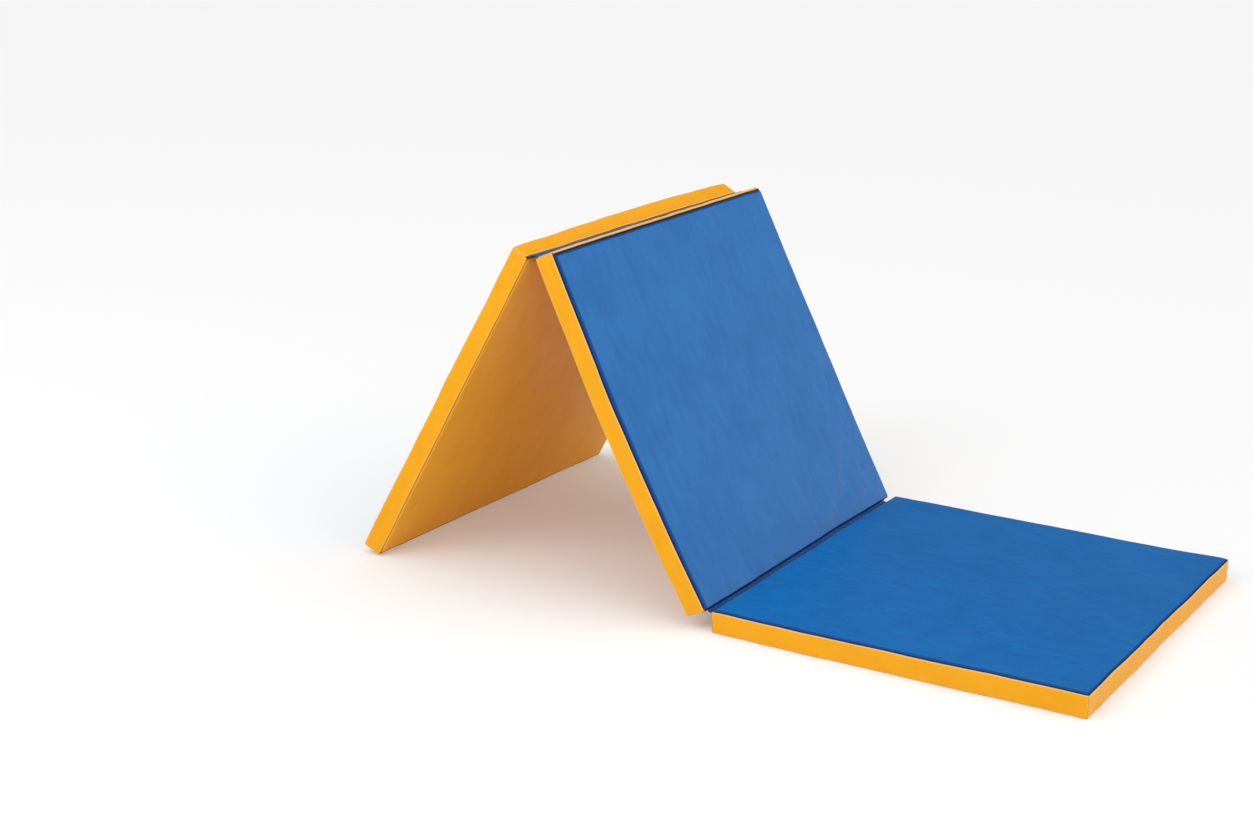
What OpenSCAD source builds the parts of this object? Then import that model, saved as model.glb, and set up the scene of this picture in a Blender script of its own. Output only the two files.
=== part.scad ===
// Three-leaf folding gym mat, standing partly folded.
// Leaf A lies on the floor. Leaves B and C stand as a tent, joined at its top.
// Two fabric strips are the hinges. One joins A and B at their top faces.
// The other joins B and C at their undersides, so the mat folds in a zigzag.

/* [Mat] */
// Length of the mat laid out flat
mat_length = 2500; // [2000:10:3000]
// Width of the mat, which is also the width of each leaf
mat_width = 1000; // [800:10:1200]
// Thickness of a leaf with its cover
mat_thickness = 50; // [40:1:80]

/* [Cover] */
// Thickness of the vinyl cover and of the hinge strips
cover = 0.8; // [0.5:0.1:1.5]

// Clearance between a hinge strip and the end faces that it joins
seam_clearance = 0.05; // [0.02:0.01:0.2]

/* [Standing pose] */
// Lean of leaf B, measured from the floor
lean_b = 60.5; // [50:0.5:70]

/* [Hinge between leaves A and B] */
// Fold line's distance beyond the end of leaf A
ab_reach = 12; // [8:1:20]
// How far the end of leaf B hangs past the fold line
ab_hang = 5; // [0:1:6]
// Fold line's height above the top faces
ab_lift = 2; // [1:0.5:4]

/* [Hinge between leaves B and C] */
// Fold line's distance beyond the ends of leaves B and C
bc_reach = 3; // [2:1:12]
// Fold line's height below the undersides
bc_lift = 6; // [1:0.5:8]

/* [Hidden] */
gap_ab = ab_reach - ab_hang;
gap_bc = 2 * bc_reach;
leaf_length = (mat_length - gap_ab - gap_bc) / 3;
side_height = mat_thickness - 2 * cover;
inner_length = leaf_length - 2 * cover;
inner_width = mat_width - 2 * cover;

// Points in a side view are [x, z], measured from the left end of leaf A on the floor.
// A leaf's own x runs along it towards the free end of leaf A, and its own z from underside to top face.
along_b = [cos(lean_b), -sin(lean_b)];
out_b = [sin(lean_b), cos(lean_b)];
fold_ab = [-ab_reach, mat_thickness + ab_lift];
b_lower_top = fold_ab + ab_hang * along_b - ab_lift * out_b;
b_corner = b_lower_top - leaf_length * along_b - mat_thickness * out_b;
fold_bc = b_corner - bc_reach * along_b - bc_lift * out_b;

// Leaf C leans so that the edge of its underside touches the floor.
// From the fold line that edge is c_span away, at an angle of c_dip to the leaf.
c_span = norm([leaf_length + bc_reach, bc_lift]);
c_dip = atan2(bc_lift, leaf_length + bc_reach);
lean_c = asin(fold_bc[1] / c_span) + c_dip;
along_c = [cos(lean_c), sin(lean_c)];
out_c = [-sin(lean_c), cos(lean_c)];
c_upper_under = fold_bc - bc_reach * along_c + bc_lift * out_c;
c_corner = c_upper_under - leaf_length * along_c;

// The origin is on the floor, under the middle of the standing mat.
left_end = c_corner[0] + mat_thickness * out_c[0];
middle_x = (left_end + leaf_length) / 2;

// Each leaf: its name, lean about Y, and the left end of its underside
LEAVES = [
    ["leaf_a", 0, [0, 0]],
    ["leaf_b", lean_b, b_corner],
    ["leaf_c", -lean_c, c_corner],
];
// What the end bands of leaves A, B and C are called, left end first
END_NAMES = [["hinge_end", "free_end"], ["upper_end", "lower_end"], ["foot_end", "hinge_end"]];

function leaf_nodes(k) = [
    str(LEAVES[k][0], "_foam_core"),
    str(LEAVES[k][0], "_top_sheet"),
    str(LEAVES[k][0], "_base_sheet"),
    str(LEAVES[k][0], "_near_side_band"),
    str(LEAVES[k][0], "_far_side_band"),
    str(LEAVES[k][0], "_", END_NAMES[k][0], "_band"),
    str(LEAVES[k][0], "_", END_NAMES[k][1], "_band"),
];

// A block with one corner at the leaf's left end, centred across its width
module slab(length, width, height) {
    translate([0, -width / 2, 0])
        cube([length, width, height]);
}

// Puts what follows where a leaf stands
module on_leaf(k) {
    translate([LEAVES[k][2][0] - middle_x, 0, LEAVES[k][2][1]])
        rotate([0, LEAVES[k][1], 0])
            children();
}

module foam_core() {
    color("lightyellow")
        translate([cover, 0, cover])
            slab(inner_length, inner_width, side_height);
}

module top_sheet() {
    color("royalblue")
        translate([0, 0, mat_thickness - cover])
            slab(leaf_length, mat_width, cover);
}

module base_sheet() {
    color("goldenrod")
        slab(leaf_length, mat_width, cover);
}

// Side is -1 for the near side and 1 for the far side
module side_band(side) {
    color("gold")
        translate([0, side * (mat_width - cover) / 2, cover])
            slab(leaf_length, cover, side_height);
}

// End is 0 for the left end and 1 for the right end
module end_band(end) {
    color("orange")
        translate([end * (leaf_length - cover), 0, cover])
            slab(cover, inner_width, side_height);
}

// A strip of fabric between the edges of two end faces, in the side view.
// Away points out of each end face, and inward points down it from its edge.
module hinge_strip(edge_1, away_1, inward_1, edge_2, away_2, inward_2) {
    start = edge_1 + seam_clearance * away_1;
    end = edge_2 + seam_clearance * away_2;
    color("mediumblue")
        translate([-middle_x, mat_width / 2, 0])
            rotate([90, 0, 0])
                linear_extrude(mat_width)
                    polygon([start, start + cover * inward_1, end + cover * inward_2, end]);
}

module hinge_strip_ab() {
    hinge_strip([0, mat_thickness], [-1, 0], [0, -1], b_lower_top, along_b, -out_b);
}

module hinge_strip_bc() {
    hinge_strip(b_corner, -along_b, out_b, c_upper_under, along_c, out_c);
}

for (k = [0 : len(LEAVES) - 1]) {
    names = leaf_nodes(k);
    on_leaf(k) foam_core();
    on_leaf(k) top_sheet();
    on_leaf(k) base_sheet();
    on_leaf(k) side_band(-1);
    on_leaf(k) side_band(1);
    on_leaf(k) end_band(0);
    on_leaf(k) end_band(1);
}
hinge_strip_ab();
hinge_strip_bc();
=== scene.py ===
import math

import bpy
import numpy as np
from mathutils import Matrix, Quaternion, Vector


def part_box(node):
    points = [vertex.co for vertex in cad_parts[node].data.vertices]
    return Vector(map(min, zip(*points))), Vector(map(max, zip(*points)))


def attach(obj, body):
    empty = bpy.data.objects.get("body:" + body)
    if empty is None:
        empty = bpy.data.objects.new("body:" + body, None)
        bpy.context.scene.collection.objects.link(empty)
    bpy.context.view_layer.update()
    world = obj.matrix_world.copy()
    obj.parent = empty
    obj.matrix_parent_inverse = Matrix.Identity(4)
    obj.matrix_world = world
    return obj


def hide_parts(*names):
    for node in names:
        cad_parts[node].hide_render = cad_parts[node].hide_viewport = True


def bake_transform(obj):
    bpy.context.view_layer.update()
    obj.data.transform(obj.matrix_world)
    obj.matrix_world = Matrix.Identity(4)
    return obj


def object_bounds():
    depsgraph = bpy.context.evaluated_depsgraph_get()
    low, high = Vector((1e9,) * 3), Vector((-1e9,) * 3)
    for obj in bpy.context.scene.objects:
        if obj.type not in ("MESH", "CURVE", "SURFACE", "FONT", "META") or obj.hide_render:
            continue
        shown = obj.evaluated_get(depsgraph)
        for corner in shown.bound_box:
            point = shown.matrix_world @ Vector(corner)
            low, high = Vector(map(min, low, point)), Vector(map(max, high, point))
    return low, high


# A folding gym mat of three foam leaves. Each leaf is a foam core in a sewn vinyl cover: a blue top
# sheet, a yellow base sheet and four yellow bands round its sides. Blue strips join the leaves.
# The covers are thin closed sheets with their seam allowances turned in, as they are sewn.

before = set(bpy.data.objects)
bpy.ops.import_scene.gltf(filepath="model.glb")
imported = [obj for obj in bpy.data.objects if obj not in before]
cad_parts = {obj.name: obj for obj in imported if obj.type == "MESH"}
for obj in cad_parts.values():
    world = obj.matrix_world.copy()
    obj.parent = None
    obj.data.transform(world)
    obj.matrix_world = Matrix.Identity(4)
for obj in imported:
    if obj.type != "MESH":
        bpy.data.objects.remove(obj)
cad_low, cad_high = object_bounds()
MM = 0.001

# Vinyl sheets
sheet_thickness = 0.8 * MM
sheet_step = 8 * MM        # spacing of a sheet's vertices away from its edges
fine_step = 2 * MM         # and beside its seams

# Seams: each is sunk in a groove along the edge of a face, with its allowance turned down behind it
seam_wander = 0.6 * MM         # how much the seams run up and down
groove_inset = 3.6 * MM        # from the band's face to the seam
roll_width = 12 * MM           # width of a sheet's rolled-over edge beside its seam
roll_shape = 1.45              # from 1, a flat bevel with a sharp crest, to 2, a round one
shoulder_rise = 1.2 * MM       # how far the band rises over the seam
shoulder_fall = 3.6 * MM       # how far down its outer face the shoulder is rounded
allowance = 5 * MM             # what is turned in behind a seam
seam_gap = 0.1 * MM            # half the space between the two sheets at a seam
corner_groove = 2.4 * MM       # depth of the groove at a corner seam
corner_round = 3.2 * MM        # and half its width
mitre_reach = 25 * MM          # how far from a corner seam the bands draw back to meet in a mitre
mitre_gap = 0.15 * MM          # half the space between two bands there
slack_reach = 60 * MM          # how far from a corner seam the bands lie slacker
strip_thickness = 1.0 * MM     # of a hinge strip
strip_seam_gap = strip_thickness + 0.2 * MM   # what it takes up between the two sheets at its seam

# Soft shape
rim_sink = 0.5 * MM            # the faces fall this much towards their rims
rim_sink_reach = 30 * MM
face_swell = 0.7 * MM          # slow unevenness of the faces
outline_wander = 1.1 * MM      # how far the sides run in and out
spare_cloth = 0.004            # share by which the simulated sheets are cut too large
wrinkle_height = {"top": 1.0 * MM, "base": 0.5 * MM}
core_clearance = 0.5 * MM


def ripple(x, y, seed, wavelength):
    """Smooth noise of about -1 to 1 that changes over about one wavelength."""
    draw = np.random.default_rng(seed)
    waves = 10
    total = 0.0
    for _ in range(waves):
        angle = draw.uniform(0, math.tau)
        k = math.tau / (wavelength * draw.uniform(0.65, 1.5))
        total = total + np.sin(k * (x * math.cos(angle) + y * math.sin(angle)) + draw.uniform(0, math.tau))
    return total / math.sqrt(waves) / 1.3


def node_points(node):
    """The vertices of a CAD node, in the row frame."""
    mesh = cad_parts[node].data
    flat = np.empty(len(mesh.vertices) * 3)
    mesh.vertices.foreach_get("co", flat)
    return flat.reshape(-1, 3)


def centre_of(node):
    low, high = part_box(node)
    return np.array((low + high) / 2)


def smooth_step(t):
    t = np.clip(t, 0, 1)
    return t * t * (3 - 2 * t)


def spline_weights(t):
    """Weights of the four neighbouring samples in a smooth curve through a row of samples."""
    return [
        (1 - t) ** 3 / 6,
        (3 * t ** 3 - 6 * t ** 2 + 4) / 6,
        (-3 * t ** 3 + 3 * t ** 2 + 3 * t + 1) / 6,
        t ** 3 / 6,
    ]


class Leaf:
    """One leaf's place and soft shape: x runs along it, y across it and h from its underside up."""

    def __init__(self, name, left_end, right_end, seed, seam_depth, corner_radii, pulls, plump, rim_wave,
                 insets=(), rolls=(), rises=(), fading=(), bow=(0, 0), leans=(0, 0), arch=(0, 0), curl=0,
                 press=0):
        self.name = name
        self.left_end = f"{name}_{left_end}_band"
        self.right_end = f"{name}_{right_end}_band"
        self.seed = seed
        self.seam_depth = seam_depth        # depth of its seams near and far, on each face
        self.corner_radii = corner_radii    # of its outline, seen from above
        self.pulls = pulls                  # how far each corner is pulled along, across and out
        self.plump = plump                  # how much thicker each corner is than flat foam
        self.rim_wave = rim_wave            # how much its rims rise and fall
        self.insets = dict(insets)          # seams that lie at another distance from the band's face
        self.rolls = dict(rolls)            # seams beside which the sheet rolls over by another width
        self.rises = dict(rises)            # seams where the band rises by another height
        self.fading = fading                # seams over which that rise fades out towards the far side
        self.bow = bow                      # how far its near and far sides bend out of straight
        self.leans = leans                  # how far its ends stand out more on top than underneath
        self.arch = arch                    # how far its right end's middle bulges out and up on top
        self.curl = curl                    # how far its far right corner curls up and stands out
        self.press = press                  # how far its left end would sink if the floor gave way
        self.along = centre_of(self.right_end) - centre_of(self.left_end)
        self.along /= np.linalg.norm(self.along)
        self.out = centre_of(f"{name}_top_sheet") - centre_of(f"{name}_base_sheet")
        self.out /= np.linalg.norm(self.out)
        self.across = np.array([0.0, 1.0, 0.0])
        points = np.vstack([node_points(n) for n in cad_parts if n.startswith(name + "_")])
        spans = [(np.min(points @ a), np.max(points @ a)) for a in (self.along, self.across, self.out)]
        self.length, self.width, self.thickness = (high - low for low, high in spans)
        self.half_length = self.length / 2
        self.half_width = self.width / 2
        middle = [(low + high) / 2 for low, high in spans]
        self.origin = middle[0] * self.along + middle[1] * self.across + spans[2][0] * self.out
        self.wrinkles = {"top": None, "base": None}

    def half(self, side):
        """Half the leaf's size across the edge called side."""
        return self.half_width if side in ("near", "far") else self.half_length

    def inset(self, side, face):
        """Distance from the band's face to the seam beside it."""
        return self.insets.get((side, face), groove_inset)

    def roll(self, side, face):
        """Width of the sheet's rolled-over edge beside that seam."""
        return self.rolls.get((side, face), roll_width)

    def rise(self, side, face, y):
        """How far the band stands up over that seam, at each y along it."""
        fade_start = 50 * MM
        fade_run = 350 * MM
        rise = self.rises.get((side, face), shoulder_rise) + 0 * y
        if (side, face) in self.fading:
            rise *= 1 - smooth_step((y - fade_start) / fade_run)
        return rise

    def depth_of_seam(self, face, x, y):
        """Depth of a seam under the top face, or over the underside."""
        near_depth, far_depth = self.seam_depth[face]
        seed = self.seed + (3 if face == "top" else 5)
        wander = 0.7 * ripple(x, y, seed, 0.16) + 0.3 * ripple(x, y, seed + 1, 0.05)
        far = smooth_step((y - self.half_width + 80 * MM) / (60 * MM))
        return near_depth + (far_depth - near_depth) * far + seam_wander * wander

    def by_corner(self, values, x, y):
        """A value set at the four corners, spread evenly between them."""
        right = x / self.length + 0.5
        far = y / self.width + 0.5
        return (
            (values[-1, -1] * (1 - right) + values[1, -1] * right) * (1 - far)
            + (values[-1, 1] * (1 - right) + values[1, 1] * right) * far
        )

    def arching(self, x, y):
        """1 in the middle of the right end, falling to 0 at its corners and away from it."""
        reach = 160 * MM
        return smooth_step((x - self.half_length + reach) / reach) * (1 - (y / self.half_width) ** 2)

    def rim_nearness(self, x, y, reach):
        """1 at the rim of the leaf, falling towards 0 inside it."""
        near_x = np.exp(-np.maximum(self.half_length - np.abs(x), 0) / reach)
        near_y = np.exp(-np.maximum(self.half_width - np.abs(y), 0) / reach)
        return near_x + near_y - near_x * near_y

    def corner_nearness(self, x, y):
        """1 at the far right corner, falling to 0 away from it."""
        reach = 110 * MM
        away = np.hypot(x - self.half_length, y - self.half_width)
        return np.exp(-((away / reach) ** 2))

    def wrinkle(self, face, x, y):
        """Height of the simulated wrinkles, read smoothly from their grid."""
        field = self.wrinkles[face]
        if field is None:
            return 0 * x
        rows, columns = field.shape
        i = np.clip((x / self.length + 0.5) * (rows - 1), 0, rows - 1)
        j = np.clip((y / self.width + 0.5) * (columns - 1), 0, columns - 1)
        i0 = np.floor(i).astype(int)
        j0 = np.floor(j).astype(int)
        total = 0.0
        for a, weight_a in enumerate(spline_weights(i - i0)):
            for b, weight_b in enumerate(spline_weights(j - j0)):
                sample = field[np.clip(i0 + a - 1, 0, rows - 1), np.clip(j0 + b - 1, 0, columns - 1)]
                total = total + weight_a * weight_b * sample
        return total

    def top_shift(self, x, y):
        """How far the top face stands above its flat place."""
        near = self.rim_nearness(x, y, rim_sink_reach)
        sink = (rim_sink + self.rim_wave * (0.5 + 0.5 * ripple(x, y, self.seed + 7, 0.24))) * near
        swell = face_swell * (0.5 - 0.5 * ripple(x, y, self.seed + 1, 0.42))
        raised = 1.6 * self.curl * self.corner_nearness(x, y) + self.arch[1] * self.arching(x, y)
        return self.by_corner(self.plump, x, y) + self.wrinkle("top", x, y) - sink - swell + raised

    def base_shift(self, x, y):
        """How far the underside stands above its flat place."""
        swell = 0.4 * face_swell * (0.5 + 0.5 * ripple(x, y, self.seed + 2, 0.42))
        raised = self.curl * self.corner_nearness(x, y) * (0.7 + 0.3 * ripple(x, y, self.seed + 8, 0.07))
        return swell + raised + self.wrinkle("base", x, y)

    def wandered(self, x, y, share):
        """The sides run slightly in and out, and the left end settles towards the floor it stands on."""
        zone = 70 * MM
        side_x = np.sign(x)
        side_y = np.sign(y)
        edge_x = smooth_step(1 - (self.half_length - np.abs(x)) / zone) * side_x
        edge_y = smooth_step(1 - (self.half_width - np.abs(y)) / zone) * side_y
        wave_x = ripple(side_x, y, self.seed + 9, 0.3) + 0.4 * ripple(side_x, y, self.seed + 10, 0.09)
        wave_y = ripple(x, side_y, self.seed + 11, 0.3) + 0.4 * ripple(x, side_y, self.seed + 12, 0.09)
        out = 1.5 * self.curl * self.corner_nearness(x, y)
        settled = 2.2 * self.press * (edge_x < 0) * edge_x
        lean = np.where(edge_x < 0, self.leans[0], self.leans[1]) * edge_x * (2 * share - 1)
        bulge = self.arch[0] * self.arching(x, y) * share
        new_x = x + outline_wander * edge_x * wave_x + out + settled + lean + bulge
        return new_x, y + outline_wander * edge_y * wave_y + out

    def rounded(self, x, y):
        """The square-cornered plan turned into one with round corners."""
        new_x = np.array(x, float)
        new_y = np.array(y, float)
        for (side_x, side_y), radius in self.corner_radii.items():
            inner_x = self.half_length - radius
            inner_y = self.half_width - radius
            p = np.clip((side_x * x - inner_x) / radius, 0, None)
            q = np.clip((side_y * y - inner_y) / radius, 0, None)
            in_corner = (p > 0) & (q > 0)
            new_x = np.where(in_corner, side_x * (inner_x + radius * p * np.sqrt(1 - q * q / 2)), new_x)
            new_y = np.where(in_corner, side_y * (inner_y + radius * q * np.sqrt(1 - p * p / 2)), new_y)
        return new_x, new_y

    def place(self, x, y, h):
        """Points of the leaf, in its soft shape, in the row frame."""
        share = h / self.thickness
        far = y / self.width + 0.5
        bow = (self.bow[0] * (1 - far) + self.bow[1] * far) * (1 - (x / self.half_length) ** 2)
        pull_along, pull_across, pull_out = (
            self.by_corner({corner: pull[k] for corner, pull in self.pulls.items()}, x, y) for k in range(3)
        )
        shifted = h + share * self.top_shift(x, y) + (1 - share) * self.base_shift(x, y) + bow + pull_out
        x, y = self.wandered(*self.rounded(x, y), share)
        points = (
            self.origin
            + (x + pull_along)[..., None] * self.along
            + (y + pull_across)[..., None] * self.across
            + shifted[..., None] * self.out
        )
        height = points[..., 2]
        reach = 8 * MM
        pressed = np.maximum(reach * (height + self.press) / (reach + self.press), 0)
        points[..., 2] = np.where(height < reach, pressed, height)
        return points


# Sides of a leaf's outline: the direction out of the leaf and the direction along the side, in local x, y
SIDES = {
    "near": ((0, -1), (1, 0)),
    "right": ((1, 0), (0, 1)),
    "far": ((0, 1), (-1, 0)),
    "left": ((-1, 0), (0, -1)),
}
# The sides that each side meets at its start and at its end
NEIGHBOURS = {
    "near": ("left", "right"),
    "right": ("near", "far"),
    "far": ("right", "left"),
    "left": ("far", "near"),
}


def corners(near_left, near_right, far_right, far_left):
    """Values in mm for the four corners of a leaf, by the signs of their local x and y."""
    values = {(-1, -1): near_left, (1, -1): near_right, (1, 1): far_right, (-1, 1): far_left}
    return {corner: MM * np.array(value) for corner, value in values.items()}


leaf_a = Leaf(
    "leaf_a", "hinge_end", "free_end", seed=100,
    seam_depth={"top": (3.4 * MM, 4.8 * MM), "base": (2.0 * MM, 2.0 * MM)},
    corner_radii=corners(4, 6, 16, 8),
    pulls=corners((0, -2, 0), (1, 0, 0), (1, 0, 0), (0, 0, 0)),
    plump=corners(-1.0, 3.0, 1.5, -0.5), rim_wave=1.0 * MM,
    insets={("left", "top"): 2.0 * MM}, rises={("left", "top"): 0, ("far", "top"): 0.2 * MM},
    rolls={("left", "top"): 4 * MM, ("right", "top"): 6 * MM, ("far", "top"): 9 * MM},
    leans=(2.5 * MM, 0), curl=1.5 * MM,
)
leaf_b = Leaf(
    "leaf_b", "upper_end", "lower_end", seed=200,
    seam_depth={"top": (4.2 * MM, 7.0 * MM), "base": (3.0 * MM, 3.0 * MM)},
    corner_radii=corners(9, 6, 8, 14),
    pulls=corners((0, 0, 0.5), (0, -4, -2.0), (0, -6, -1.5), (0, 9, -0.5)),
    plump=corners(0, 0, 0, 0), rim_wave=1.6 * MM,
    insets={("left", "top"): 7.0 * MM, ("right", "top"): 2.0 * MM},
    rolls={
        ("near", "top"): 14 * MM, ("left", "top"): 8 * MM,
        ("right", "top"): 4 * MM, ("far", "top"): 9 * MM,
    },
    rises={("left", "top"): 3.0 * MM, ("right", "top"): 0, ("far", "top"): 0.2 * MM, ("left", "base"): 0},
    fading=[("left", "top")],
    bow=(-11 * MM, -1 * MM), leans=(-1.6 * MM, 2.0 * MM),
)
leaf_c = Leaf(
    "leaf_c", "foot_end", "hinge_end", seed=300,
    seam_depth={"top": (2.6 * MM, 2.6 * MM), "base": (4.6 * MM, 4.6 * MM)},
    corner_radii=corners(7, 8, 13, 9),
    pulls=corners((1, 0, 1.7), (-1.5, 0, 0), (1.5, 0, -9.1), (6.2, 0, -9.1)),
    plump=corners(1.5, -3.0, 1.5, 1.0), rim_wave=1.6 * MM,
    rises={("right", "base"): 0}, leans=(0, 1.0 * MM), arch=(3.5 * MM, 4 * MM), press=2 * MM,
)
leaves = [leaf_a, leaf_b, leaf_c]
# Seams that hold a hinge strip too: there the strip's thickness parts the two sheets
STRIP_SEAMS = {
    ("leaf_a", "left", "top"), ("leaf_b", "right", "top"),
    ("leaf_b", "left", "base"), ("leaf_c", "right", "base"),
}


# ---------------------------------------------------------------- meshes

def graded(length, fine, coarse):
    """Coordinates from 0 to length, fine apart at both ends and coarse apart in between."""
    steps = []
    step = fine
    while step < coarse:
        steps.append(step)
        step *= 1.3
    end = np.cumsum([0.0] + steps)
    inner = length - 2 * end[-1]
    middle = np.linspace(end[-1], length - end[-1], max(2, round(inner / coarse) + 1))
    return np.concatenate([end[:-1], middle, (length - end[:-1])[::-1]])


def fillet(run, depth, count):
    """A quarter turn out of a groove: (distance from the seam, depth below the face) at count points."""
    turn = np.linspace(0, math.pi / 2, count)
    return run * (1 - np.cos(turn)), depth * (1 - np.sin(turn))


def grid_quads(rows, columns, start=0):
    i, j = np.meshgrid(np.arange(rows - 1), np.arange(columns - 1), indexing="ij")
    corner = start + i * columns + j
    return np.stack([corner, corner + columns, corner + columns + 1, corner + 1], -1).reshape(-1, 4)


def grid_border(rows, columns):
    """Indices round a grid, in the same turning sense as its quads."""
    first = np.arange(rows - 1) * columns
    second = (rows - 1) * columns + np.arange(columns - 1)
    third = np.arange(rows - 1, 0, -1) * columns + columns - 1
    fourth = np.arange(columns - 1, 0, -1)
    return np.concatenate([first, second, third, fourth])


def vertex_normals(points, quads):
    a, b, c, d = (points[quads[:, k]] for k in range(4))
    face = np.cross(c - a, d - b)
    normals = np.zeros_like(points)
    for k in range(4):
        np.add.at(normals, quads[:, k], face)
    return normals / np.maximum(np.linalg.norm(normals, axis=1, keepdims=True), 1e-12)


def new_object(name, data):
    """An object that shows some data, in the scene."""
    made = bpy.data.objects.new(name, data)
    bpy.context.scene.collection.objects.link(made)
    return made


def new_piece(name, points, faces, coordinates, painted_rim_tone, material):
    """A smooth mesh object with its cloth coordinates and its painted rim tone stored on it: how much painted
    shade or painted highlight each point takes beside a seam.
    """
    mesh = bpy.data.meshes.new(name)
    mesh.from_pydata(points.tolist(), [], faces.tolist())
    mesh.update()
    mesh.shade_smooth()
    stored = mesh.attributes.new("cloth", "FLOAT_VECTOR", "POINT")
    stored.data.foreach_set("vector", np.ascontiguousarray(coordinates, np.float32).ravel())
    stored = mesh.attributes.new("painted_rim_tone", "FLOAT", "POINT")
    stored.data.foreach_set("value", np.ascontiguousarray(painted_rim_tone, np.float32).ravel())
    mesh.materials.append(material)
    return new_object(name, mesh)


def thin_solid(name, points, quads, coordinates, painted_rim_tone, thickness, material):
    """A closed sheet: the given outer face, an inner face one thickness behind it, and an edge all round."""
    count = len(points)
    inner = points - thickness * vertex_normals(points, quads)
    edges = np.concatenate([quads[:, [k, (k + 1) % 4]] for k in range(4)])
    key = edges[:, 0] * count + edges[:, 1]
    back = edges[:, 1] * count + edges[:, 0]
    border = edges[~np.isin(key, back)]
    sides = np.stack([border[:, 1], border[:, 0], border[:, 0] + count, border[:, 1] + count], -1)
    faces = np.concatenate([quads, quads[:, ::-1] + count, sides])
    both = np.vstack([points, inner])
    return new_piece(
        name, both, faces, np.vstack([coordinates, coordinates]), np.concatenate([painted_rim_tone, painted_rim_tone]), material
    )


def level_square(name, reach, level):
    """A level square that runs a distance called reach each way from the middle of the row frame."""
    mesh = bpy.data.meshes.new(name)
    corners = [(-reach, -reach, level), (reach, -reach, level), (reach, reach, level), (-reach, reach, level)]
    mesh.from_pydata(corners, [], [(0, 1, 2, 3)])
    return new_object(name, mesh)


# ---------------------------------------------------------------- cloth simulation

def blurred(field, passes):
    """The slow part of a grid of heights."""
    for _ in range(passes):
        padded = np.pad(field, 1, mode="edge")
        field = (padded[:-2, 1:-1] + padded[2:, 1:-1] + padded[1:-1, :-2] + padded[1:-1, 2:] + 4 * field) / 8
    return field


def simulated_wrinkles(leaf, face):
    """Lets a sheet with a little spare cloth settle on flat foam, sewn down round its rim.

    Returns the heights of the wrinkles that it makes, on a grid over the leaf."""
    scene = bpy.context.scene
    spacing = 10 * MM
    rows = round(leaf.length / spacing) + 1
    columns = round(leaf.width / spacing) + 1
    x, y = np.meshgrid(np.linspace(-leaf.half_length, leaf.half_length, rows),
                       np.linspace(-leaf.half_width, leaf.half_width, columns), indexing="ij")
    draw = np.random.default_rng(leaf.seed + (20 if face == "top" else 21))
    start = 0.3 * MM * draw.random((rows, columns))
    points = np.stack([x, y, start], -1).reshape(-1, 3)
    mesh = bpy.data.meshes.new("settling_sheet")
    mesh.from_pydata(points.tolist(), [], grid_quads(rows, columns).tolist())
    sheet = new_object("settling_sheet", mesh)
    sewn = sheet.vertex_groups.new(name="sewn")
    sewn.add(grid_border(rows, columns).tolist(), 1.0, "ADD")
    bed = level_square("foam_bed", 0.8, -1.5 * MM)
    bed.modifiers.new("bed", "COLLISION")
    bed.collision.thickness_outer = 1 * MM
    bed.collision.cloth_friction = 15
    cloth = sheet.modifiers.new("cloth", "CLOTH")
    cloth.settings.vertex_group_mass = "sewn"
    cloth.settings.quality = 5
    cloth.settings.mass = 0.05
    cloth.settings.tension_stiffness = 20
    cloth.settings.compression_stiffness = 20
    cloth.settings.shear_stiffness = 8
    cloth.settings.bending_stiffness = 1.5
    cloth.settings.shrink_min = -spare_cloth
    cloth.collision_settings.distance_min = 1 * MM
    gravity = scene.gravity.copy()
    scene.gravity = (-9.81 * leaf.along[2], 0, -4.0)
    last_frame = 20
    cloth.point_cache.frame_end = last_frame
    for number in range(1, last_frame + 1):
        scene.frame_set(number)
    settled = sheet.evaluated_get(bpy.context.evaluated_depsgraph_get()).to_mesh()
    flat = np.empty(len(settled.vertices) * 3)
    settled.vertices.foreach_get("co", flat)
    height = flat.reshape(rows, columns, 3)[..., 2]
    bpy.data.objects.remove(sheet)
    bpy.data.objects.remove(bed)
    scene.gravity = gravity
    scene.frame_set(1)
    relief = blurred(height, 2) - blurred(height, 60)
    relief = relief / (2 * relief.std())
    from_rim = np.minimum(leaf.half_length - np.abs(x), leaf.half_width - np.abs(y))
    relief = np.tanh(relief) * smooth_step(from_rim / (30 * MM))
    if face == "top":
        return wrinkle_height["top"] * relief
    return wrinkle_height["base"] * (relief + 1) / 2


# ---------------------------------------------------------------- cover pieces

def rimmed(leaf, face, low_side, high_side):
    """Coordinates across a face with rolled edges, and the share of the seam's depth at each."""
    across_roll = np.linspace(0, 1, 11)
    fall = (1 - across_roll) ** roll_shape
    low, high = (
        leaf.half(side) - leaf.inset(side, face) - seam_gap - leaf.roll(side, face) * across_roll
        for side in (low_side, high_side)
    )
    inner = graded(low[-1] + high[-1], fine_step, sheet_step) - low[-1]
    coordinates = np.concatenate([-low, inner[1:-1], high[::-1]])
    shares = np.concatenate([fall, np.zeros(len(inner) - 2), fall[::-1]])
    return coordinates, shares


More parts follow.
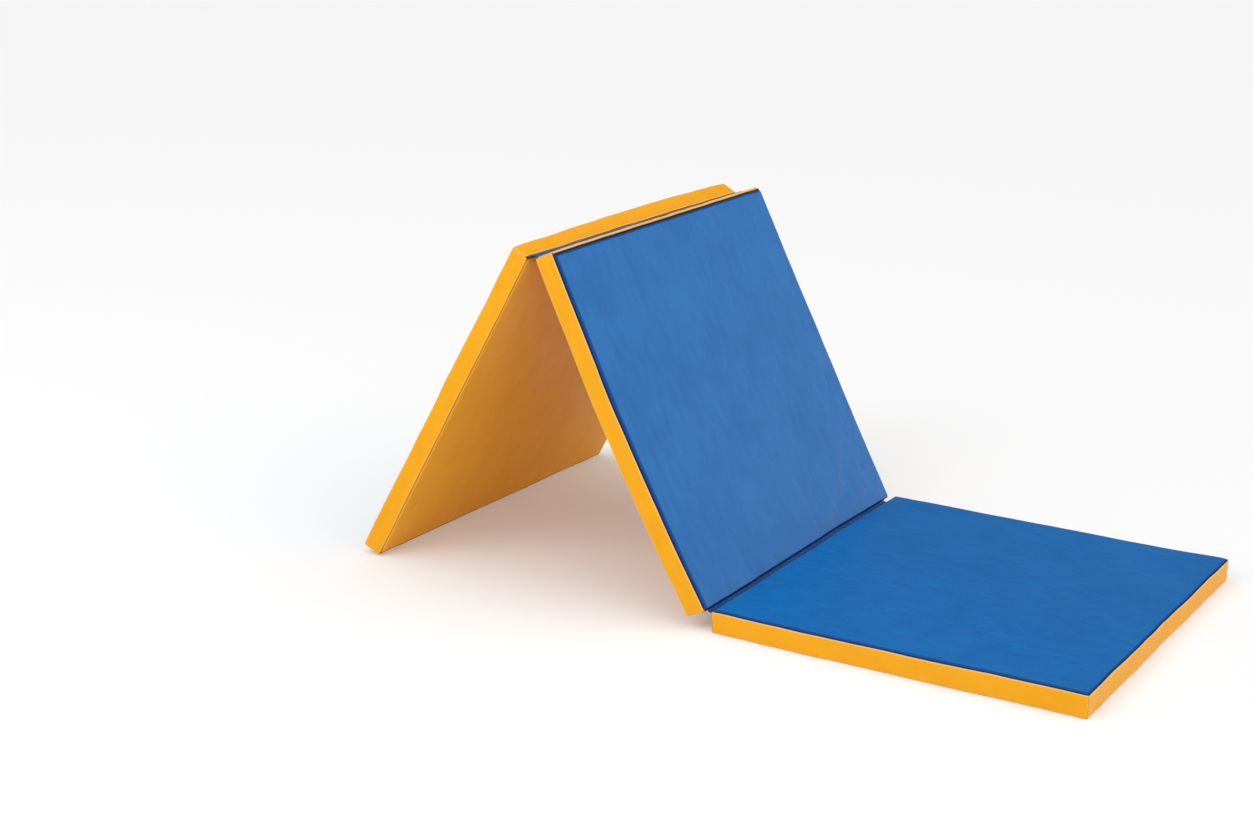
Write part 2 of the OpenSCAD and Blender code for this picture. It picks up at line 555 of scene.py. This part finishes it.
def face_sheet(leaf, face, material):
    """The top or base sheet of a leaf, with its edges rolled over to the seams and turned in."""
    x, fall_x = rimmed(leaf, face, "left", "right")
    y, fall_y = rimmed(leaf, face, "near", "far")
    grid_x, grid_y = np.meshgrid(x, y, indexing="ij")
    share = 1 - (1 - fall_x[:, None]) * (1 - fall_y[None, :])
    rows, columns = share.shape
    border = grid_border(rows, columns)
    after = np.roll(border, -1)
    ring = rows * columns + np.arange(len(border))
    hem = np.stack([border, ring, np.roll(ring, -1), after], -1)
    quads = np.concatenate([grid_quads(rows, columns), hem])
    all_x = np.concatenate([grid_x.ravel(), grid_x.ravel()[border]])
    all_y = np.concatenate([grid_y.ravel(), grid_y.ravel()[border]])
    all_share = np.concatenate([share.ravel(), np.ones(len(border))])
    drop = all_share * leaf.depth_of_seam(face, all_x, all_y)
    drop[rows * columns:] += allowance
    height = leaf.thickness - drop if face == "top" else drop
    if face == "base":
        quads = quads[:, ::-1]
    points = leaf.place(all_x, all_y, height)
    coordinates = np.stack([all_x + leaf.seed, all_y, drop], -1)
    # The blue sheet takes painted shade over its whole rolled edge; the yellow one takes a painted highlight
    # and painted shade only close to its seam
    painted_rim_tone = all_share if face == "top" else all_share * smooth_step(2 * all_share - 0.4)
    return thin_solid(
        f"{leaf.name}_{face}_cover", points, quads, coordinates, painted_rim_tone, sheet_thickness, material
    )


def shoulder(leaf, side, face, y):
    """A band's rounded edge, from its seam to its face: inset from the face, and height over the seam."""
    gap = strip_seam_gap if (leaf.name, side, face) in STRIP_SEAMS else seam_gap
    start = leaf.inset(side, face) - gap
    rise = leaf.rise(side, face, y)
    inner = np.linspace(0, math.pi / 2, 6)
    outer = np.linspace(0, math.pi / 2, 7)[1:]
    middle = 0.55 * start
    inset = np.concatenate([middle + (start - middle) * np.cos(inner), middle * (1 - np.sin(outer))])
    fall = shoulder_fall * (1 - np.cos(outer))
    height = np.concatenate([rise * np.sin(inner)[:, None], rise - fall[:, None]])
    return inset, height


def side_band(leaf, side, node, material):
    """One band of a leaf's cover, from corner seam to corner seam and from top seam to base seam."""
    outward, tangent = (np.array(v, float) for v in SIDES[side])
    half_out = leaf.half(side)
    half_run = leaf.half_length + leaf.half_width - half_out
    # Along the band: its turned-in end, the rounded corner, its length, and the same again
    end_run, end_depth = fillet(corner_round, corner_groove, 5)
    length = graded(2 * (half_run - corner_round), fine_step, sheet_step) - half_run + corner_round
    from_end = np.concatenate([[0], end_run[:-1], half_run - np.abs(length), end_run[:-1][::-1], [0]])
    sign = np.sign(np.concatenate([-np.ones(len(end_run)), length, np.ones(len(end_run))]))
    station = sign * (half_run - from_end)
    groove = np.concatenate([[corner_groove], end_depth[:-1]])
    corner = np.concatenate([groove, 0 * length, groove[::-1]])
    turned_in = np.zeros(len(station))
    turned_in[[0, -1]] = allowance
    edge_x, edge_y = (outward[k] * half_out + tangent[k] * station for k in (0, 1))
    # Across the band: its allowance, its shoulder, its face, and the same again
    edges = {}
    for face in ("top", "base"):
        inset, height = shoulder(leaf, side, face, edge_y)
        depth = leaf.depth_of_seam(face, edge_x, edge_y)
        depth_rows = np.concatenate([[allowance + depth], depth - height])
        start, end = (leaf.inset(other, face) for other in NEIGHBOURS[side])
        inset = np.concatenate([[inset[0]], inset])[:, None]
        own = leaf.inset(side, face)
        # The shoulder's painted tone: a painted highlight along its crest and painted shade down into its
        # seam. Where a hinge strip is sewn in, the whole shoulder takes painted shade, as the strip's shadow.
        shade = 1 + 0 * inset if (leaf.name, side, face) in STRIP_SEAMS else inset / own
        edges[face] = inset, depth_rows, inset / own, inset * np.where(station < 0, start, end) / own, shade
    share = np.linspace(0, 1, 9)[1:-1, None]
    high = leaf.thickness - edges["top"][1]
    low = edges["base"][1]
    middle = high[-1] * (1 - share) + low[-1] * share
    level = np.concatenate([high, middle, low[::-1]])
    rows, columns = level.shape
    depth, turn, cut, shade = (
        np.concatenate([edges["top"][k] + 0 * high, 0 * middle, (edges["base"][k] + 0 * low)[::-1]])
        for k in (0, 2, 3, 4)
    )
    near_end = np.exp(-(half_run - np.abs(station)) / slack_reach)
    on_face = 1 - np.clip(turn, 0, 1)
    side_seed = leaf.seed + ord(side[0])
    slack = 0.4 * MM * (1 + 1.5 * near_end) * (1 + ripple(station[None, :], level, side_seed, 0.08))
    slack = slack * on_face * (1 - np.clip(corner / corner_groove, 0, 1))
    pinched = corner * on_face + turned_in + slack
    inset = depth + pinched
    mitre = smooth_step(1 - (half_run - np.abs(station)) / mitre_reach)
    run = station - sign * mitre * (cut + pinched + mitre_gap)
    x = outward[0] * (half_out - inset) + tangent[0] * run
    y = outward[1] * (half_out - inset) + tangent[1] * run
    points = leaf.place(x, y, level).reshape(-1, 3)
    coordinates = np.stack(
        [np.broadcast_to(station + side_seed, level.shape), level, 0 * level], -1
    ).reshape(-1, 3)
    # Corner seams take painted shade down into their grooves as well.
    painted_rim_tone = np.maximum(shade, np.sqrt(corner / corner_groove)).ravel()
    return thin_solid(
        f"{node}_cover", points, grid_quads(rows, columns), coordinates, painted_rim_tone, sheet_thickness, material
    )


def foam_core(leaf, material):
    """The foam inside a leaf: a slab with rounded edges that follows the cover's soft shape."""
    face_gap = sheet_thickness + core_clearance
    radius = 7 * MM
    edge = {}
    for side in SIDES:
        seams = [leaf.inset(side, face) + leaf.roll(side, face) / 2 for face in ("top", "base")]
        edge[side] = leaf.half(side) - max(seams)
    size = (edge["left"] + edge["right"], edge["near"] + edge["far"], leaf.thickness - 2 * face_gap)
    half = np.array(size) / 2
    middle = np.array([edge["right"] - edge["left"], edge["far"] - edge["near"], leaf.thickness]) / 2
    axes = [graded(2 * h, fine_step, 25 * MM) - h for h in half]
    index = {}
    points = []
    quads = []

    def vertex(i, j, k):
        if (i, j, k) not in index:
            index[i, j, k] = len(points)
            points.append((axes[0][i], axes[1][j], axes[2][k]))
        return index[i, j, k]

    last = [len(a) - 1 for a in axes]
    for fixed in range(3):
        u, v = [(1, 2), (2, 0), (0, 1)][fixed]
        for end in (0, last[fixed]):
            for i in range(last[u]):
                for j in range(last[v]):
                    ring = [(i, j), (i + 1, j), (i + 1, j + 1), (i, j + 1)]
                    corners = []
                    for a, b in ring if end else ring[::-1]:
                        place = [0, 0, 0]
                        place[fixed] = end
                        place[u] = a
                        place[v] = b
                        corners.append(vertex(*place))
                    quads.append(corners)
    points = np.array(points)
    inner = np.clip(points, radius - half, half - radius)
    away = points - inner
    points = middle + inner + radius * away / np.linalg.norm(away, axis=1, keepdims=True)
    placed = leaf.place(*points.T)
    return new_piece(f"{leaf.name}_foam", placed, np.array(quads), points, np.zeros(len(points)), material)


def hinge_strip(name, first, first_side, second, second_side, face, sag, end_gap, material):
    """The strip between two leaves, sewn into the seams of the ends that face each other.

    It follows each leaf at that leaf's own seam and turns smoothly in between. Returns the strip, its
    width and its length."""
    half_run = first.half_width - end_gap
    y = graded(2 * half_run, 3 * MM, sheet_step) - half_run
    ends = []
    for leaf, side in ((first, first_side), (second, second_side)):
        sign = SIDES[side][0][0]
        depth = leaf.depth_of_seam(face, sign * leaf.half_length + 0 * y, y)
        line = []
        inset = leaf.inset(side, face) - seam_gap
        for below in (allowance, 0, -0.5 * MM):
            level = leaf.thickness - depth - below if face == "top" else depth + below
            line.append(leaf.place(sign * (leaf.half_length - inset) + 0 * y, y, level))
        facing = leaf.out if face == "top" else -leaf.out
        ends.append((line, sign * leaf.along, facing))
    (line_1, way_1, facing_1), (line_2, way_2, facing_2) = ends
    mouth_1, mouth_2 = line_1[-1], line_2[-1]
    reach = 0.4 * np.linalg.norm(mouth_2 - mouth_1, axis=1)[:, None]
    handle_1 = mouth_1 + reach * way_1 - sag * facing_1
    handle_2 = mouth_2 + reach * way_2 - sag * facing_2
    lines = list(line_1[:-1])
    for t in np.linspace(0, 1, 15):
        lines.append(
            (1 - t) ** 3 * mouth_1
            + 3 * (1 - t) ** 2 * t * handle_1
            + 3 * (1 - t) * t ** 2 * handle_2
            + t ** 3 * mouth_2
        )
    lines.extend(line_2[:-1][::-1])
    lines = np.array(lines)
    rows, columns = lines.shape[:2]
    quads = grid_quads(rows, columns)
    steps = np.linalg.norm(np.diff(lines.mean(1), axis=0), axis=1)
    travelled = np.concatenate([[0], np.cumsum(steps)])
    coordinates = np.stack(
        [np.broadcast_to(travelled[:, None], (rows, columns)), np.broadcast_to(y, (rows, columns)),
         np.zeros((rows, columns))], -1
    ).reshape(-1, 3)
    points = lines.reshape(-1, 3)
    faces_up = vertex_normals(points, quads)[:, 2].mean() > 0
    if faces_up != (face == "top"):
        quads = quads[:, ::-1]
    # The strip takes a little of the painted rim colour, painted shade that darkens it in its groove, and its
    # sewn rows take the seams' painted shade.
    painted_rim_tone = np.full((rows, columns), 0.02)   # just off the seams' own tone, so the strip shades a little
    painted_rim_tone[[0, 1, 2, -3, -2, -1]] = 1
    piece = thin_solid(name, points, quads, coordinates, painted_rim_tone.ravel(), strip_thickness, material)
    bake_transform(piece)
    return piece, travelled[-1], 2 * half_run


# ---------------------------------------------------------------- materials

def node_chain(material):
    """Empties the nodes of a material or world, and gives a helper that adds nodes and joins them."""
    material.use_nodes = True
    tree = material.node_tree
    tree.nodes.clear()

    def add(kind, inputs=(), **settings):
        node = tree.nodes.new(kind)
        for key, value in settings.items():
            setattr(node, key, value)
        for key, value in dict(inputs).items():
            socket = node.inputs[key]
            if isinstance(value, bpy.types.NodeSocket):
                tree.links.new(value, socket)
            else:
                socket.default_value = value
        return node

    return add


def vinyl(name, colour, deep_colour, painted_rim_colour, painted_rim_amount, seam_shade_colour, roughness, specular):
    """Embossed PVC sheet: two tones in soft streaks and fine grain, with painted light at its seams: a
    painted rim colour (painted shade or a painted highlight) on the rolled edges and painted shade in the
    seams.
    """
    material = bpy.data.materials.new(name)
    add = node_chain(material)
    cloth = add("ShaderNodeAttribute", attribute_name="cloth").outputs["Vector"]
    painted_rim_tone = add("ShaderNodeAttribute", attribute_name="painted_rim_tone").outputs["Fac"]
    patches = add("ShaderNodeTexNoise", {"Vector": cloth, "Scale": 6.0, "Detail": 3.0, "Roughness": 0.55})
    stretched = add("ShaderNodeVectorMath", {0: cloth, 1: (16.0, 48.0, 48.0)}, operation="MULTIPLY")
    streaks = add("ShaderNodeTexNoise", {"Vector": stretched.outputs["Vector"], "Scale": 1.0, "Detail": 4.0})
    grain = add("ShaderNodeTexNoise", {"Vector": cloth, "Scale": 260.0, "Detail": 3.0, "Roughness": 0.7})
    mixed = add("ShaderNodeMath", {0: patches.outputs["Fac"], 1: 0.3}, operation="MULTIPLY")
    streaked = add("ShaderNodeMath", {0: streaks.outputs["Fac"], 1: 0.35, 2: mixed.outputs["Value"]},
                   operation="MULTIPLY_ADD")
    grained = add("ShaderNodeMath", {0: grain.outputs["Fac"], 1: 0.35, 2: streaked.outputs["Value"]},
                  operation="MULTIPLY_ADD")
    tone = add("ShaderNodeMapRange", {"Value": grained.outputs["Value"], "From Min": 0.39, "From Max": 0.61})
    base = add("ShaderNodeMix", {"Factor": tone.outputs["Result"], "A": deep_colour, "B": colour},
               data_type="RGBA")
    # The painted rim colour follows the painted rim tone: painted shade on the blue's rolled edges, a painted
    # highlight on the yellow's shoulders.
    painted_rim_ramp = add("ShaderNodeValToRGB", {"Fac": painted_rim_tone})
    first, last = painted_rim_ramp.color_ramp.elements
    first.color = (0, 0, 0, 1)
    last.color = (1, 1, 1, 1)
    painted_rim_ramp.color_ramp.elements.new(0.05).color = (painted_rim_amount, painted_rim_amount, painted_rim_amount, 1)
    painted_rim = add("ShaderNodeMix", {"Factor": painted_rim_ramp.outputs["Color"], "A": base.outputs["Result"],
                                 "B": painted_rim_colour}, data_type="RGBA")
    # Painted shade in the seams: the colour darkens to the seam shade colour where the painted rim tone is
    # high.
    dark = add("ShaderNodeMapRange", {"Value": painted_rim_tone, "From Min": 0.62, "From Max": 0.9, "To Max": 0.92})
    shade = add("ShaderNodeMix", {"Factor": dark.outputs["Result"], "A": painted_rim.outputs["Result"],
                                  "B": seam_shade_colour}, data_type="RGBA")
    pores = add("ShaderNodeTexVoronoi", {"Vector": cloth, "Scale": 600.0}, feature="SMOOTH_F1")
    height = add("ShaderNodeMath", {0: pores.outputs["Distance"], 1: 0.5, 2: grain.outputs["Fac"]},
                 operation="MULTIPLY_ADD")
    fine_bump = add("ShaderNodeBump", {"Height": height.outputs["Value"], "Strength": 0.6,
                                       "Distance": 0.3 * MM})
    dimples = add("ShaderNodeTexNoise", {"Vector": cloth, "Scale": 45.0, "Detail": 3.0, "Roughness": 0.6})
    bump = add("ShaderNodeBump", {"Height": dimples.outputs["Fac"], "Strength": 0.5, "Distance": 1.0 * MM,
                                  "Normal": fine_bump.outputs["Normal"]})
    polish = add("ShaderNodeMapRange", {"Value": patches.outputs["Fac"], "From Min": 0.3, "From Max": 0.7,
                                        "To Min": roughness + 0.05, "To Max": roughness - 0.05})
    shine = add("ShaderNodeMapRange", {"Value": painted_rim_tone, "From Min": 0.25, "From Max": 0.55,
                                       "To Min": specular, "To Max": 0.0})
    surface = add("ShaderNodeBsdfPrincipled", {
        "Base Color": shade.outputs["Result"], "Roughness": polish.outputs["Result"],
        "IOR": 1.45, "Specular IOR Level": shine.outputs["Result"], "Normal": bump.outputs["Normal"],
    })
    add("ShaderNodeOutputMaterial", {"Surface": surface.outputs["BSDF"]})
    return material


def foam(name):
    """Cut polyurethane foam: pale, matt, with open cells."""
    material = bpy.data.materials.new(name)
    add = node_chain(material)
    cloth = add("ShaderNodeAttribute", attribute_name="cloth").outputs["Vector"]
    cells = add("ShaderNodeTexVoronoi", {"Vector": cloth, "Scale": 1400.0})
    blotch = add("ShaderNodeTexNoise", {"Vector": cloth, "Scale": 12.0, "Detail": 3.0})
    colour = add("ShaderNodeMix", {"Factor": blotch.outputs["Fac"], "A": (0.62, 0.57, 0.42, 1),
                                   "B": (0.74, 0.70, 0.56, 1)}, data_type="RGBA")
    bump = add("ShaderNodeBump", {"Height": cells.outputs["Distance"], "Strength": 0.8, "Distance": 0.3 * MM})
    surface = add("ShaderNodeBsdfPrincipled", {"Base Color": colour.outputs["Result"], "Roughness": 0.95,
                                               "Normal": bump.outputs["Normal"]})
    add("ShaderNodeOutputMaterial", {"Surface": surface.outputs["BSDF"]})
    return material


def lit_table(name):
    """The white top of a photographer's lit table: matt, with a little light of its own."""
    material = bpy.data.materials.new(name)
    add = node_chain(material)
    surface = add("ShaderNodeBsdfPrincipled", {
        "Base Color": (0.69, 0.69, 0.69, 1), "Roughness": 0.8, "Specular IOR Level": 0.2,
        "Emission Color": (1, 1, 1, 1), "Emission Strength": 0.18,
    })
    add("ShaderNodeOutputMaterial", {"Surface": surface.outputs["BSDF"]})
    return material


# The blue's painted rim colour is painted shade and the yellow's is a painted highlight; both seam shade
# colours are painted shade.
blue_vinyl = vinyl(
    "blue_vinyl", colour=(0.002, 0.140, 0.420, 1), deep_colour=(0.001, 0.106, 0.345, 1),
    painted_rim_colour=(0.001, 0.034, 0.17, 1), painted_rim_amount=0.85, seam_shade_colour=(0.001, 0.010, 0.05, 1),
    roughness=0.28, specular=0.27,
)
yellow_vinyl = vinyl(
    "yellow_vinyl", colour=(0.81, 0.365, 0.008, 1), deep_colour=(0.755, 0.325, 0.007, 1),
    painted_rim_colour=(0.86, 0.49, 0.12, 1), painted_rim_amount=0.4, seam_shade_colour=(0.13, 0.028, 0.002, 1),
    roughness=0.42, specular=0.15,
)
foam_material = foam("foam")

# ---------------------------------------------------------------- the mat

for leaf in leaves:
    for face in ("top", "base"):
        leaf.wrinkles[face] = simulated_wrinkles(leaf, face)
    core = foam_core(leaf, foam_material)
    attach(core, leaf.name)
    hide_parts(f"{leaf.name}_foam_core")
    for face, material, slot in (("top", blue_vinyl, "blue_vinyl"), ("base", yellow_vinyl, "yellow_vinyl")):
        cover = face_sheet(leaf, face, material)
        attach(cover, leaf.name)
        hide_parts(f"{leaf.name}_{face}_sheet")
    bands = {
        "near": f"{leaf.name}_near_side_band",
        "far": f"{leaf.name}_far_side_band",
        "left": leaf.left_end,
        "right": leaf.right_end,
    }
    for side, node in bands.items():
        band = side_band(leaf, side, node, yellow_vinyl)
        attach(band, leaf.name)
        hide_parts(node)
        run = 2 * (leaf.half_length + leaf.half_width - leaf.half(side))

for name, first, first_side, second, second_side, face, sag, end_gap in (
    ("hinge_strip_ab", leaf_a, "left", leaf_b, "right", "top", 10 * MM, 24 * MM),
    ("hinge_strip_bc", leaf_b, "left", leaf_c, "right", "base", 1 * MM, 9 * MM),
):
    strip, strip_width, strip_length = hinge_strip(
        f"{name}_cloth", first, first_side, second, second_side, face, sag, end_gap, blue_vinyl
    )
    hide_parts(name)

# ---------------------------------------------------------------- floor, light and camera

def stage_floor():
    floor = level_square("floor", 60.0, 0)
    floor.data.materials.append(lit_table("floor_paint"))


def soft_light(name, place, aim, size, power):
    """A square light that faces a point."""
    data = bpy.data.lights.new(name, "AREA")
    data.shape = "SQUARE"
    data.size = size
    data.energy = power
    light = new_object(name, data)
    light.location = place
    light.rotation_mode = "QUATERNION"
    light.rotation_quaternion = (Vector(aim) - Vector(place)).to_track_quat("-Z", "Y")


def studio():
    """A white studio that is brighter on the right than behind on the left, with a soft key in front."""
    scene = bpy.context.scene
    scene.view_settings.view_transform = "Standard"
    world = bpy.data.worlds.new("studio")
    scene.world = world
    add = node_chain(world)
    direction = add("ShaderNodeTexCoord").outputs["Generated"]
    to_right = add("ShaderNodeVectorMath", {0: direction, 1: (0.93, 0.09, 0.33)}, operation="DOT_PRODUCT")
    glow = add("ShaderNodeMapRange", {"Value": to_right.outputs["Value"], "From Min": -0.6, "From Max": 0.8,
                                      "To Min": 0.6, "To Max": 1.15})
    to_flag = add("ShaderNodeVectorMath", {0: direction, 1: (-0.45, 0.85, 0.27)}, operation="DOT_PRODUCT")
    flag = add("ShaderNodeMapRange", {"Value": to_flag.outputs["Value"], "From Min": 0.5, "From Max": 0.9,
                                      "To Min": 1.0, "To Max": 0.18}, interpolation_type="SMOOTHSTEP")
    strength = add("ShaderNodeMath", {0: glow.outputs["Result"], 1: flag.outputs["Result"]},
                   operation="MULTIPLY")
    background = add("ShaderNodeBackground", {"Color": (1, 1, 1, 1), "Strength": strength.outputs["Value"]})
    add("ShaderNodeOutputWorld", {"Surface": background.outputs["Background"]})
    middle = (cad_low + cad_high) / 2
    soft_light("key", middle + Vector((-1.6, -4.2, 3.0)), middle, 3.0, 71)
    sky = bpy.data.lights.new("overhead", "SUN")
    sky.energy = 0.9
    sky.angle = math.radians(100)
    new_object("overhead", sky)


def camera():
    """The view from the front right, a little above the mat, with the camera rolled slightly."""
    azimuth = math.radians(28.21)
    elevation = math.radians(15.78)
    roll = math.radians(2.45)
    distance = 5.724
    aim = Vector((leaf_a.origin[0] - leaf_a.half_length - 0.4925, 0, 0.2771))
    back = Vector((
        math.sin(azimuth) * math.cos(elevation),
        -math.cos(azimuth) * math.cos(elevation),
        math.sin(elevation),
    ))
    data = bpy.data.cameras.new("camera")
    data.lens = 69.96
    data.sensor_width = 36
    data.clip_end = 200
    view = new_object("camera", data)
    view.location = aim + distance * back
    view.rotation_mode = "QUATERNION"
    level = (-back).to_track_quat("-Z", "Y")
    view.rotation_quaternion = Quaternion(back, roll) @ level
    bpy.context.scene.camera = view


stage_floor()
studio()
camera()

bpy.context.view_layer.update()
